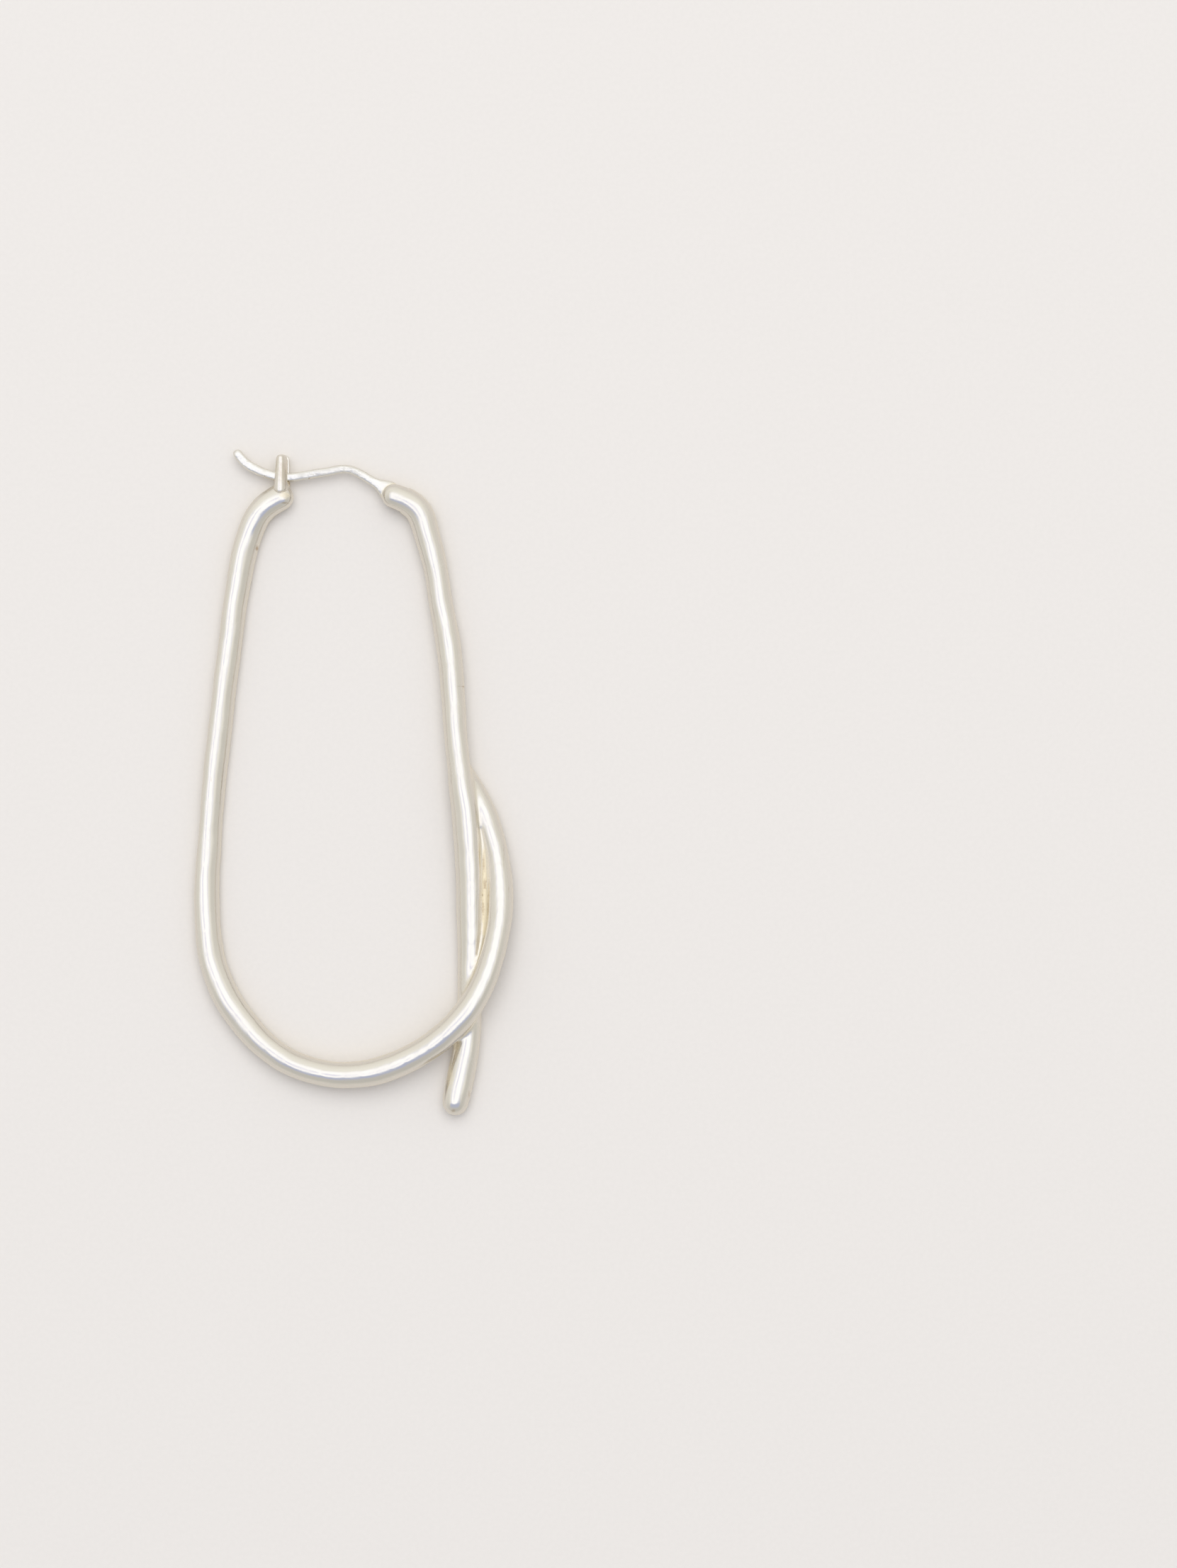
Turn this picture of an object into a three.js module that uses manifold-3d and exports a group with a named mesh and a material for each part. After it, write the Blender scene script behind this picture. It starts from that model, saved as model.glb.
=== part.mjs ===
// Long hoop earring of round silver wire. The wire crosses in front of its own straight side near
// the bottom and is soldered behind it higher up, and a hinged post closes the mouth at the top.
// Lengths are millimetres. The earring lies on its back: X runs across it, Y up it towards the
// clasp, and Z off the table.

import * as THREE from 'three';
import { mergeVertices } from 'three/addons/utils/BufferGeometryUtils.js';
import Module from 'manifold-3d';

// Hoop
const hoopWidth = 26.5;        // between the centre lines of the left side and the right bulge
const hoopHeight = 52.2;       // from the bottom curve's centre line up to the clasp line
const wireDiameter = 2.1;      // nominal, the rows give its real girth
const knuckleDiameter = 2.37;  // round ends of the wire, at the hinge and below the catch

// Web in the gap between the straight side and the bulge
const webThickness = 0.7;
const webHeight = 1.3;         // middle of the web above the table

// Post, a flat lever that turns on the hinge pin
const postWidth = 0.77;        // as seen from above
const postThickness = 0.7;     // along the pin
const postArch = 2.45;         // crest of its arch above the pin
const postRounding = 0.12;
const bladeInset = 0.23;       // from the knuckle's outline to the end of the post's round root

// Hinge
const pinDiameter = 0.9;
const pinClearance = 0.05;     // round the pin, in the post that turns on it
const rivetClearance = 0.02;   // round the pin, in the knuckle that holds it
const pinInset = 0.02;         // pin's domed heads below the knuckle's surface
const slotClearance = 0.1;     // on each flat of the post, and behind its round root

// Catch, two prongs that the post drops between
const prongThickness = 0.7;
const prongReach = 2.55;       // from the slot's floor to the tip
const catchClearance = 0.13;   // on each flat of the post
const catchSeatGap = 0.1;      // below the post
const catchSeat = 0.38;        // foot of the catch above the middle of the wire's end
const catchBaseWidth = 1.23;
const catchTopWidth = 0.86;
const catchTopRound = 0.34;
const catchOffset = 0.22;      // foot's middle, towards the hinge from the middle of the wire's end
const catchLean = 0.12;        // tip's middle, further towards the hinge
const catchSkew = 0.32;        // back prong towards the hinge, against the front one
const catchRounding = 0.12;

// Mesh steps
const aroundWire = 24;
const aroundPin = 32;
const stepsPerRow = 4;
const capSteps = 5;
const postSteps = 56;
const bevelSteps = 2;

// Rows of the wire, from the clasp end down. across is a share of hoopWidth and up of hoopHeight.
// under, the height of the wire's underside above the table, and girth are shares of wireDiameter.
const knuckleGirth = knuckleDiameter / wireDiameter;
const loopRows = [
  { across: 0.248, up: 0.999, under: 0.000, girth: knuckleGirth },
  { across: 0.192, up: 0.979, under: 0.000, girth: 1.10 },
  { across: 0.145, up: 0.936, under: 0.000, girth: 1.07 },
  { across: 0.116, up: 0.877, under: 0.010, girth: 1.01 },
  { across: 0.081, up: 0.757, under: 0.010, girth: 0.99 },
  { across: 0.052, up: 0.634, under: 0.005, girth: 0.98 },
  { across: 0.025, up: 0.512, under: 0.000, girth: 0.98 },
  { across: 0.005, up: 0.389, under: 0.000, girth: 0.98 },
  { across: 0.000, up: 0.266, under: 0.000, girth: 1.07 },
  { across: 0.050, up: 0.150, under: 0.010, girth: 1.14 },
  { across: 0.132, up: 0.085, under: 0.040, girth: 1.18 },
  { across: 0.283, up: 0.022, under: 0.160, girth: 1.10 },
  { across: 0.470, up: 0.000, under: 0.290, girth: 1.10 },
  { across: 0.645, up: 0.018, under: 0.480, girth: 1.13 },
  { across: 0.790, up: 0.061, under: 0.710, girth: 1.10 },
  { across: 0.900, up: 0.121, under: 0.820, girth: 1.07 },
  { across: 0.973, up: 0.205, under: 0.660, girth: 1.02 },
  { across: 1.000, up: 0.303, under: 0.330, girth: 1.05 },
  { across: 0.984, up: 0.389, under: 0.140, girth: 1.01 },
  { across: 0.926, up: 0.475, under: 0.030, girth: 0.95 },
  { across: 0.868, up: 0.534, under: 0.070, girth: 0.67 },
];
const strandRows = [
  { across: 0.637, up: 1.001, under: 0.000, girth: knuckleGirth },
  { across: 0.704, up: 0.979, under: 0.000, girth: 1.12 },
  { across: 0.745, up: 0.935, under: 0.010, girth: 1.07 },
  { across: 0.778, up: 0.877, under: 0.020, girth: 1.01 },
  { across: 0.797, up: 0.818, under: 0.030, girth: 1.01 },
  { across: 0.819, up: 0.757, under: 0.070, girth: 1.01 },
  { across: 0.841, up: 0.634, under: 0.220, girth: 0.99 },
  { across: 0.858, up: 0.536, under: 0.360, girth: 0.98 },
  { across: 0.876, up: 0.438, under: 0.380, girth: 1.01 },
  { across: 0.889, up: 0.340, under: 0.310, girth: 1.01 },
  { across: 0.894, up: 0.229, under: 0.145, girth: 1.01 },
  { across: 0.894, up: 0.131, under: 0.010, girth: 1.02 },
  { across: 0.882, up: 0.045, under: 0.000, girth: 1.10 },
  { across: 0.856, up: -0.022, under: 0.015, girth: 1.11 },
  { across: 0.847, up: -0.050, under: 0.060, girth: 1.00 },
];

// Rows of the post, from the pin to the thumb tip. along is a share of the span from hinge to
// catch, rise of postArch and width of postWidth.
const postRows = [
  { along: 0.000, rise: 0.000, width: 2.25 },
  { along: 0.062, rise: 0.235, width: 2.20 },
  { along: 0.132, rise: 0.418, width: 1.33 },
  { along: 0.230, rise: 0.653, width: 0.97 },
  { along: 0.329, rise: 0.888, width: 0.96 },
  { along: 0.429, rise: 1.000, width: 0.88 },
  { along: 0.565, rise: 0.914, width: 0.92 },
  { along: 0.677, rise: 0.836, width: 0.96 },
  { along: 0.783, rise: 0.765, width: 0.95 },
  { along: 0.894, rise: 0.697, width: 0.98 },
  { along: 0.975, rise: 0.692, width: 0.96 },
  { along: 1.037, rise: 0.731, width: 0.96 },
  { along: 1.165, rise: 0.901, width: 1.00 },
  { along: 1.292, rise: 1.201, width: 1.04 },
  { along: 1.363, rise: 1.514, width: 1.00 },
];
const catchRow = postRows[10];

// Corners of the web, inside the two wires: shares of hoopWidth and hoopHeight
const webCorners = [
  { across: 0.905, up: 0.450 },
  { across: 0.950, up: 0.430 },
  { across: 0.980, up: 0.310 },
  { across: 0.950, up: 0.215 },
  { across: 0.895, up: 0.175 },
  { across: 0.890, up: 0.310 },
];

const zAxis = new THREE.Vector3(0, 0, 1);
const quarterTurn = Math.PI / 2;
const wasm = await Module();
wasm.setup();

// Booleans
function solidOf(geometry) {
  const bare = geometry.clone();
  bare.deleteAttribute('normal');
  bare.deleteAttribute('uv');
  const merged = mergeVertices(bare);
  return new wasm.Manifold(new wasm.Mesh({
    numProp: 3,
    vertProperties: new Float32Array(merged.attributes.position.array),
    triVerts: new Uint32Array(merged.index.array),
  }));
}

function geometryOf(solid) {
  const mesh = solid.getMesh();
  const geometry = new THREE.BufferGeometry();
  geometry.setAttribute('position', new THREE.BufferAttribute(mesh.vertProperties, mesh.numProp));
  geometry.setIndex(new THREE.BufferAttribute(mesh.triVerts, 1));
  geometry.computeVertexNormals();
  return geometry;
}

// Wire
function wireCentre(row) {
  return new THREE.Vector3(
    row.across * hoopWidth,
    row.up * hoopHeight,
    (row.under + row.girth / 2) * wireDiameter,
  );
}

function wireRadius(rows, station) {
  const place = station * (rows.length - 1);
  const index = Math.min(Math.floor(place), rows.length - 2);
  const blend = THREE.MathUtils.smoothstep(place - index, 0, 1);
  return THREE.MathUtils.lerp(rows[index].girth, rows[index + 1].girth, blend) * wireDiameter / 2;
}

function rodProfile(rows) {
  const steps = stepsPerRow * (rows.length - 1);
  const first = wireRadius(rows, 0);
  const last = wireRadius(rows, 1);
  const profile = [];
  for (let i = 0; i < capSteps; i++) {
    const angle = quarterTurn * i / capSteps;
    profile.push(new THREE.Vector2(first * Math.sin(angle), -first * Math.cos(angle)));
  }
  for (let i = 0; i <= steps; i++) {
    profile.push(new THREE.Vector2(wireRadius(rows, i / steps), i / steps));
  }
  for (let i = capSteps - 1; i >= 0; i--) {
    const angle = quarterTurn * i / capSteps;
    profile.push(new THREE.Vector2(last * Math.sin(angle), 1 + last * Math.cos(angle)));
  }
  return profile;
}

// A straight turned rod whose Y runs from 0 to 1 is bent along the path, with its round ends,
// in millimetres, beyond 0 and 1.
function bendAlong(geometry, path) {
  const position = geometry.attributes.position;
  const vertex = new THREE.Vector3();
  for (let i = 0; i < position.count; i++) {
    vertex.fromBufferAttribute(position, i);
    const station = THREE.MathUtils.clamp(vertex.y, 0, 1);
    const tangent = path.getTangent(station);
    const side = tangent.clone().cross(zAxis).normalize();
    const over = side.clone().cross(tangent);
    const place = path.getPoint(station);
    place.addScaledVector(side, vertex.x);
    place.addScaledVector(tangent, vertex.y - station);
    place.addScaledVector(over, vertex.z);
    position.setXYZ(i, place.x, place.y, place.z);
  }
  return geometry;
}

function wire(rows) {
  const path = new THREE.CatmullRomCurve3(rows.map(wireCentre));
  return solidOf(bendAlong(new THREE.LatheGeometry(rodProfile(rows), aroundWire), path));
}

const hinge = wireCentre(strandRows[0]);
const catchEnd = wireCentre(loopRows[0]);
const claspSpan = hinge.x - catchEnd.x;
const bladeRadius = knuckleDiameter / 2 - bladeInset;

function web() {
  const shape = new THREE.Shape(webCorners.map(
    (corner) => new THREE.Vector2(corner.across * hoopWidth, corner.up * hoopHeight),
  ));
  const geometry = new THREE.ExtrudeGeometry(shape, { depth: webThickness, bevelEnabled: false });
  geometry.translate(0, 0, webHeight - webThickness / 2);
  return solidOf(geometry);
}

// Hinge knuckle: the saw cut runs across the wire's round end, with its floor behind the post's root
function knuckleSlot() {
  const strand = new THREE.CatmullRomCurve3(strandRows.map(wireCentre));
  const tangent = strand.getTangent(0);
  const floor = bladeRadius + slotClearance;
  const length = floor + knuckleDiameter;
  const height = postThickness + 2 * slotClearance;
  const geometry = new THREE.BoxGeometry(length, 2 * knuckleDiameter, height);
  geometry.translate(floor - length / 2, 0, 0);
  geometry.rotateZ(Math.atan2(tangent.y, tangent.x));
  geometry.translate(hinge.x, hinge.y, hinge.z);
  return solidOf(geometry);
}

function boreAt(radius) {
  const geometry = new THREE.CylinderGeometry(radius, radius, 2 * knuckleDiameter, aroundPin);
  geometry.rotateX(quarterTurn);
  geometry.translate(hinge.x, hinge.y, hinge.z);
  return solidOf(geometry);
}

// Catch
function catchFloor() {
  return hinge.y + catchRow.rise * postArch - postWidth * catchRow.width / 2 - catchSeatGap;
}

function catchShape(foot, tip) {
  const left = catchOffset - catchBaseWidth / 2;
  const right = catchOffset + catchBaseWidth / 2;
  const tipLeft = catchOffset + catchLean - catchTopWidth / 2;
  const tipRight = catchOffset + catchLean + catchTopWidth / 2;
  const shape = new THREE.Shape();
  shape.moveTo(left, foot);
  shape.lineTo(right, foot);
  shape.lineTo(tipRight, tip - catchTopRound);
  shape.quadraticCurveTo(tipRight, tip, tipRight - catchTopRound, tip);
  shape.lineTo(tipLeft + catchTopRound, tip);
  shape.quadraticCurveTo(tipLeft, tip, tipLeft, tip - catchTopRound);
  shape.closePath();
  return shape;
}

function catchProngs() {
  const slot = postThickness + 2 * catchClearance;
  const depth = slot + 2 * prongThickness;
  const floor = catchFloor() - catchEnd.y;
  const block = new THREE.ExtrudeGeometry(catchShape(catchSeat, floor + prongReach), {
    depth: depth - 2 * catchRounding,
    bevelThickness: catchRounding,
    bevelSize: catchRounding,
    bevelOffset: -catchRounding,
    bevelSegments: bevelSteps,
    curveSegments: 4,
  });
  block.translate(0, 0, catchRounding - depth / 2);
  const skew = new THREE.Matrix4().makeShear(0, 0, 0, 0, -catchSkew / depth, 0);
  block.applyMatrix4(skew);
  const gap = new THREE.BoxGeometry(4 * catchBaseWidth, prongReach + knuckleDiameter, slot);
  gap.translate(catchOffset, floor + (prongReach + knuckleDiameter) / 2, 0);
  block.translate(catchEnd.x, catchEnd.y, catchEnd.z);
  gap.translate(catchEnd.x, catchEnd.y, catchEnd.z);
  return { block: solidOf(block), gap: solidOf(gap) };
}

function hoopSolid() {
  const prongs = catchProngs();
  return wire(loopRows)
    .add(prongs.block)
    .subtract(prongs.gap)
    .add(wire(strandRows))
    .add(web())
    .subtract(knuckleSlot())
    .subtract(boreAt(pinDiameter / 2 + rivetClearance));
}

// Post: a flat plate with soft edges, whose outline keeps half its width each side of the centre line
function postHalfWidth(station) {
  const place = station * (postRows.length - 1);
  const index = Math.min(Math.floor(place), postRows.length - 2);
  const blend = THREE.MathUtils.smoothstep(place - index, 0, 1);
  return THREE.MathUtils.lerp(postRows[index].width, postRows[index + 1].width, blend) * postWidth / 2;
}

function postOutline() {
  const path = new THREE.SplineCurve(postRows.map(
    (row) => new THREE.Vector2(-row.along * claspSpan, row.rise * postArch),
  ));
  const near = [];
  const far = [];
  for (let i = 0; i <= postSteps; i++) {
    const station = i / postSteps;
    const centre = path.getPoint(station);
    const tangent = path.getTangent(station);
    const across = new THREE.Vector2(-tangent.y, tangent.x).multiplyScalar(postHalfWidth(station));
    near.push(centre.clone().add(across));
    far.push(centre.clone().sub(across));
  }
  const tip = path.getPoint(1);
  const heading = path.getTangent(1).angle();
  const tipArc = [];
  for (let i = 1; i < 2 * capSteps; i++) {
    const angle = heading + quarterTurn - Math.PI * i / (2 * capSteps);
    tipArc.push(tip.clone().add(
      new THREE.Vector2(Math.cos(angle), Math.sin(angle)).multiplyScalar(postHalfWidth(1)),
    ));
  }
  return new THREE.Shape([...near, ...tipArc, ...far.reverse()]);
}

function postSolid() {
  const plate = new THREE.ExtrudeGeometry(postOutline(), {
    depth: postThickness - 2 * postRounding,
    bevelThickness: postRounding,
    bevelSize: postRounding,
    bevelOffset: -postRounding,
    bevelSegments: bevelSteps,
  });
  plate.translate(hinge.x, hinge.y, hinge.z + postRounding - postThickness / 2);
  const root = new THREE.CylinderGeometry(bladeRadius, bladeRadius, postThickness, aroundPin);
  root.rotateX(quarterTurn);
  root.translate(hinge.x, hinge.y, hinge.z);
  return solidOf(plate)
    .add(solidOf(root))
    .subtract(boreAt(pinDiameter / 2 + pinClearance));
}

// Pin: its heads are domed like the knuckle that they are filed flush with
function pinGeometry() {
  const radius = pinDiameter / 2;
  const profile = [];
  for (let i = 0; i <= capSteps; i++) {
    const out = radius * i / capSteps;
    profile.push(new THREE.Vector2(out, Math.sqrt((knuckleDiameter / 2) ** 2 - out ** 2) - pinInset));
  }
  const lower = profile.map((point) => new THREE.Vector2(point.x, -point.y));
  const geometry = new THREE.LatheGeometry([...lower, ...profile.reverse()], aroundPin);
  geometry.rotateX(quarterTurn);
  geometry.translate(hinge.x, hinge.y, hinge.z);
  return geometryOf(solidOf(geometry));
}

// Assembly, stood on the table with the middle of its box over the origin
const silver = { color: 0xdedbd3, metalness: 1, roughness: 0.22 };

function piece(name, geometry) {
  const mesh = new THREE.Mesh(geometry, new THREE.MeshStandardMaterial(silver));
  mesh.name = name;
  return mesh;
}

const earring = new THREE.Group();
earring.add(piece('hoop', geometryOf(hoopSolid())));
earring.add(piece('ear_post', geometryOf(postSolid())));
earring.add(piece('hinge_pin', pinGeometry()));

const box = new THREE.Box3().setFromObject(earring);
const middle = box.getCenter(new THREE.Vector3());
earring.position.set(-middle.x, -middle.y, -box.min.z);

export default earring;
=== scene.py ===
"""A long silver hoop earring lies on a pale table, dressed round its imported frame.

Shapes are worked out in millimetres, in the frame's own axes, and turned to metres when they are done.
"""

import logging
import math
from dataclasses import dataclass, field
from enum import Enum
from typing import NamedTuple

import bmesh
import bpy
import numpy as np
from bpy.types import Material, Mesh, Node, NodeSocket, NodeTree, Object, World
from mathutils import Matrix, Vector


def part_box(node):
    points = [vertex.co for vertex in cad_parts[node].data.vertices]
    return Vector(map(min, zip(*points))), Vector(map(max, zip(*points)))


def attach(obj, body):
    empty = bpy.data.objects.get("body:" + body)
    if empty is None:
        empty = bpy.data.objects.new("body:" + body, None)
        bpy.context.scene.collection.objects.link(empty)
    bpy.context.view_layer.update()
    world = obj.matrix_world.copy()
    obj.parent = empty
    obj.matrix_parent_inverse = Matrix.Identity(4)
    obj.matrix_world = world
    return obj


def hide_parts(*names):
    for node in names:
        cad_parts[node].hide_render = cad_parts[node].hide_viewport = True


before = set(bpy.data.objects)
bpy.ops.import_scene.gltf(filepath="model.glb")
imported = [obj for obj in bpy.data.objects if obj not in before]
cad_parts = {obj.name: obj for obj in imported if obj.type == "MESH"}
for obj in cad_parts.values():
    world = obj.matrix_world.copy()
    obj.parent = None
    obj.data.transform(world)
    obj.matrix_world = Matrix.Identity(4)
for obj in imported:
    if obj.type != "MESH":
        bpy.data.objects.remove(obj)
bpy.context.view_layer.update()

MILLIMETRE = 0.001

PHOTO_WIDTH = 1661
PHOTO_HEIGHT = 2212
PHOTO_PIXEL = 0.06402
HINGE_PIXEL = (556.0, 699.8)

MERGE_DISTANCE = 1e-4
SHARP_ANGLE = math.radians(50)
CAP_BLUNTNESS = 0.3
DEEP_HOLLOW = 99.8

# Places of the colour sockets on a Mix node
MIX_LOW, MIX_HIGH, MIX_RESULT = 6, 7, 2
TINY = 1e-9

Pair = tuple[float, float]
Triple = tuple[float, float, float]
Colour = tuple[float, float, float, float]
Inputs = dict[str | int, object]
Sockets = bpy.types.bpy_prop_collection

log = logging.getLogger("earring")


class Body(Enum):
    """Rigid bodies of the frame that a piece can ride on."""

    HOOP = "hoop"
    POST = "ear_post"


class Combine(Enum):
    """Ways to combine closed meshes."""

    CUT = "DIFFERENCE"
    WELD = "UNION"
    SHARE = "INTERSECT"


class WireRow(NamedTuple):
    """One section of the wire, in shares of the hoop's width, its height and the wire's diameter.

    The oval is its longer axis over its shorter one. The lean is how many degrees the longer axis rises
    towards the right-hand side of the way along the wire.
    """

    across: float
    up: float
    under: float
    girth: float
    oval: float = 1.0
    lean: float = 0.0


class PostRow(NamedTuple):
    """One section of the post, in shares of the clasp's span, the arch's height and the post's width."""

    along: float
    rise: float
    width: float


class Spot(NamedTuple):
    """A place seen from above, in shares of the hoop's width and height."""

    across: float
    up: float


@dataclass(frozen=True)
class HoopSizes:
    """Driving sizes of the earring, in millimetres."""

    width: float = 26.5
    height: float = 52.2
    wire: float = 2.1
    knuckle: float = 2.37
    web_thickness: float = 0.7
    web_height: float = 1.6
    post_width: float = 0.77
    post_thickness: float = 0.7
    post_arch: float = 2.45
    blade_inset: float = 0.23
    pin: float = 0.9
    pin_clearance: float = 0.05
    slot_clearance: float = 0.1


PATH_VALUES = ("half_width", "oval", "lean")
SIZES = HoopSizes()
KNUCKLE_GIRTH = SIZES.knuckle / SIZES.wire

LOOP_ROWS = tuple(WireRow(*row) for row in (
    (0.248, 0.999, 0.000, KNUCKLE_GIRTH, 1.13, 0.0),
    (0.192, 0.979, 0.000, 1.10, 1.15, 30.0),
    (0.145, 0.936, 0.000, 1.07, 1.30, 34.0),
    (0.116, 0.877, 0.010, 1.01, 1.38, 36.0),
    (0.081, 0.757, 0.010, 0.99, 1.32, 34.0),
    (0.052, 0.634, 0.005, 0.98, 1.42, 36.0),
    (0.025, 0.512, 0.000, 0.98, 1.42, 36.0),
    (0.005, 0.389, 0.000, 0.98, 1.38, 34.0),
    (0.000, 0.266, 0.000, 1.07, 1.30, 30.0),
    (0.050, 0.150, 0.010, 1.14, 1.18, 24.0),
    (0.132, 0.085, 0.040, 1.18, 1.08, 12.0),
    (0.283, 0.022, 0.160, 1.10),
    (0.470, 0.000, 0.290, 1.10),
    (0.645, 0.018, 0.480, 1.13),
    (0.790, 0.061, 0.710, 1.10),
    (0.900, 0.121, 0.820, 1.07),
    (0.973, 0.205, 0.660, 1.02),
    (1.000, 0.303, 0.330, 1.05),
    (0.984, 0.389, 0.140, 1.01),
    (0.926, 0.475, 0.030, 0.95),
    (0.868, 0.534, 0.070, 0.67),
))
STRAND_ROWS = tuple(WireRow(*row) for row in (
    (0.637, 1.001, 0.000, KNUCKLE_GIRTH),
    (0.708, 0.982, 0.000, 1.16),
    (0.748, 0.937, 0.010, 1.09),
    (0.778, 0.877, 0.020, 1.01),
    (0.797, 0.818, 0.030, 1.01),
    (0.819, 0.757, 0.070, 1.01),
    (0.841, 0.634, 0.220, 0.99),
    (0.858, 0.536, 0.360, 0.98, 1.08, -30.0),
    (0.880, 0.438, 0.380, 1.08, 1.22, -34.0),
    (0.891, 0.340, 0.310, 1.06, 1.28, -34.0),
    (0.894, 0.229, 0.145, 1.03, 1.22, -30.0),
    (0.894, 0.131, 0.010, 1.02),
    (0.882, 0.045, 0.000, 1.12, 1.10, -12.0),
    (0.856, -0.022, 0.015, 1.17, 1.18, 14.0),
    (0.846, -0.048, 0.040, 1.09, 1.15, 20.0),
))
POST_ROWS = tuple(PostRow(*row) for row in (
    (0.000, 0.000, 2.25),
    (0.062, 0.235, 2.20),
    (0.132, 0.418, 1.33),
    (0.230, 0.653, 0.97),
    (0.329, 0.888, 0.96),
    (0.429, 1.000, 0.88),
    (0.565, 0.914, 0.92),
    (0.677, 0.836, 0.96),
    (0.783, 0.765, 0.95),
    (0.894, 0.697, 0.98),
    (0.975, 0.692, 0.96),
    (1.037, 0.731, 0.96),
    (1.165, 0.901, 1.00),
    (1.292, 1.201, 1.04),
    (1.370, 1.545, 1.00),
))
WEB_CORNERS = tuple(Spot(*row) for row in (
    (0.905, 0.475),
    (0.960, 0.414),
    (0.977, 0.310),
    (0.960, 0.230),
    (0.929, 0.180),
    (0.912, 0.266),
    (0.912, 0.389),
))

# The hinge's middle in the frame, and what carries the rows' places to the frame, in millimetres
HINGE = sum((Vector(corner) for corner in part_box("hinge_pin")), Vector()) / 2 / MILLIMETRE
KNUCKLE = STRAND_ROWS[0]
SHIFT = HINGE - Vector((KNUCKLE.across * SIZES.width, KNUCKLE.up * SIZES.height, SIZES.knuckle / 2))


def seen_from_above(spot: Spot | WireRow, height: float) -> Vector:
    """A place over the table.

    Args:
        spot: a spot or a row, in shares of the hoop's width and height.
        height: its height over the table, in millimetres.

    Returns:
        The place in the frame, in millimetres.
    """
    return Vector((spot.across * SIZES.width, spot.up * SIZES.height, height)) + SHIFT


def spline_through(knots: np.ndarray, spacing: float) -> np.ndarray:
    """A smooth line through knots, whose bend never jumps.

    Args:
        knots: one row for each knot. The first three columns are its place, and the others follow along.
        spacing: distance between the samples, in millimetres.

    Returns:
        The samples, with the same columns.
    """
    chords = np.linalg.norm(np.diff(knots[:, :3], axis=0), axis=1)
    along = np.concatenate(([0.0], np.cumsum(chords)))
    count = len(knots)
    system = np.zeros((count, count))
    right = np.zeros((count, knots.shape[1]))
    system[0, 0] = system[-1, -1] = 1.0
    slopes = np.diff(knots, axis=0) / chords[:, None]
    for i in range(1, count - 1):
        system[i, i - 1:i + 2] = chords[i - 1], 2 * (chords[i - 1] + chords[i]), chords[i]
        right[i] = 6 * (slopes[i] - slopes[i - 1])
    bends = np.linalg.solve(system, right)
    stations = np.linspace(0.0, along[-1], int(along[-1] / spacing) + 1)
    index = np.clip(np.searchsorted(along, stations, side="right") - 1, 0, count - 2)
    span = chords[index][:, None]
    ahead = (stations - along[index])[:, None]
    behind = span - ahead
    curved = (bends[index] * behind ** 3 + bends[index + 1] * ahead ** 3) / (6 * span)
    low = (knots[index] / span - bends[index] * span / 6) * behind
    high = (knots[index + 1] / span - bends[index + 1] * span / 6) * ahead
    return curved + low + high


def cap_rows(end: np.ndarray, inner: np.ndarray, steps: int, length: float) -> list[np.ndarray]:
    """The sections of a round cap on a rod.

    Args:
        end: the rod's last section.
        inner: the section before it.
        steps: sections in the cap.
        length: the cap's length, in half widths.

    Returns:
        The sections, from the rod outwards.
    """
    outward = (end - inner)[:3]
    outward = outward / np.linalg.norm(outward)
    rows = []
    for step in range(1, steps + 1):
        angle = math.pi / 2 * step / (steps + CAP_BLUNTNESS)
        place = end[:3] + outward * end[3] * length * math.sin(angle)
        rows.append(np.concatenate((place, [end[3] * math.cos(angle)], end[4:])))
    return rows


def with_round_ends(samples: np.ndarray, steps: int, first: float = 1.0, last: float = 1.0) -> np.ndarray:
    """Adds a round cap to each end of a rod.

    Args:
        samples: rows of x, y, z, half width, oval and lean.
        steps: sections in each cap.
        first: length of the first cap, in half widths.
        last: length of the last cap, in half widths.

    Returns:
        The samples with the caps' own before and after them.
    """
    before = cap_rows(samples[0], samples[1], steps, first)[::-1]
    after = cap_rows(samples[-1], samples[-2], steps, last)
    return np.vstack([*before, samples, *after])


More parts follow.
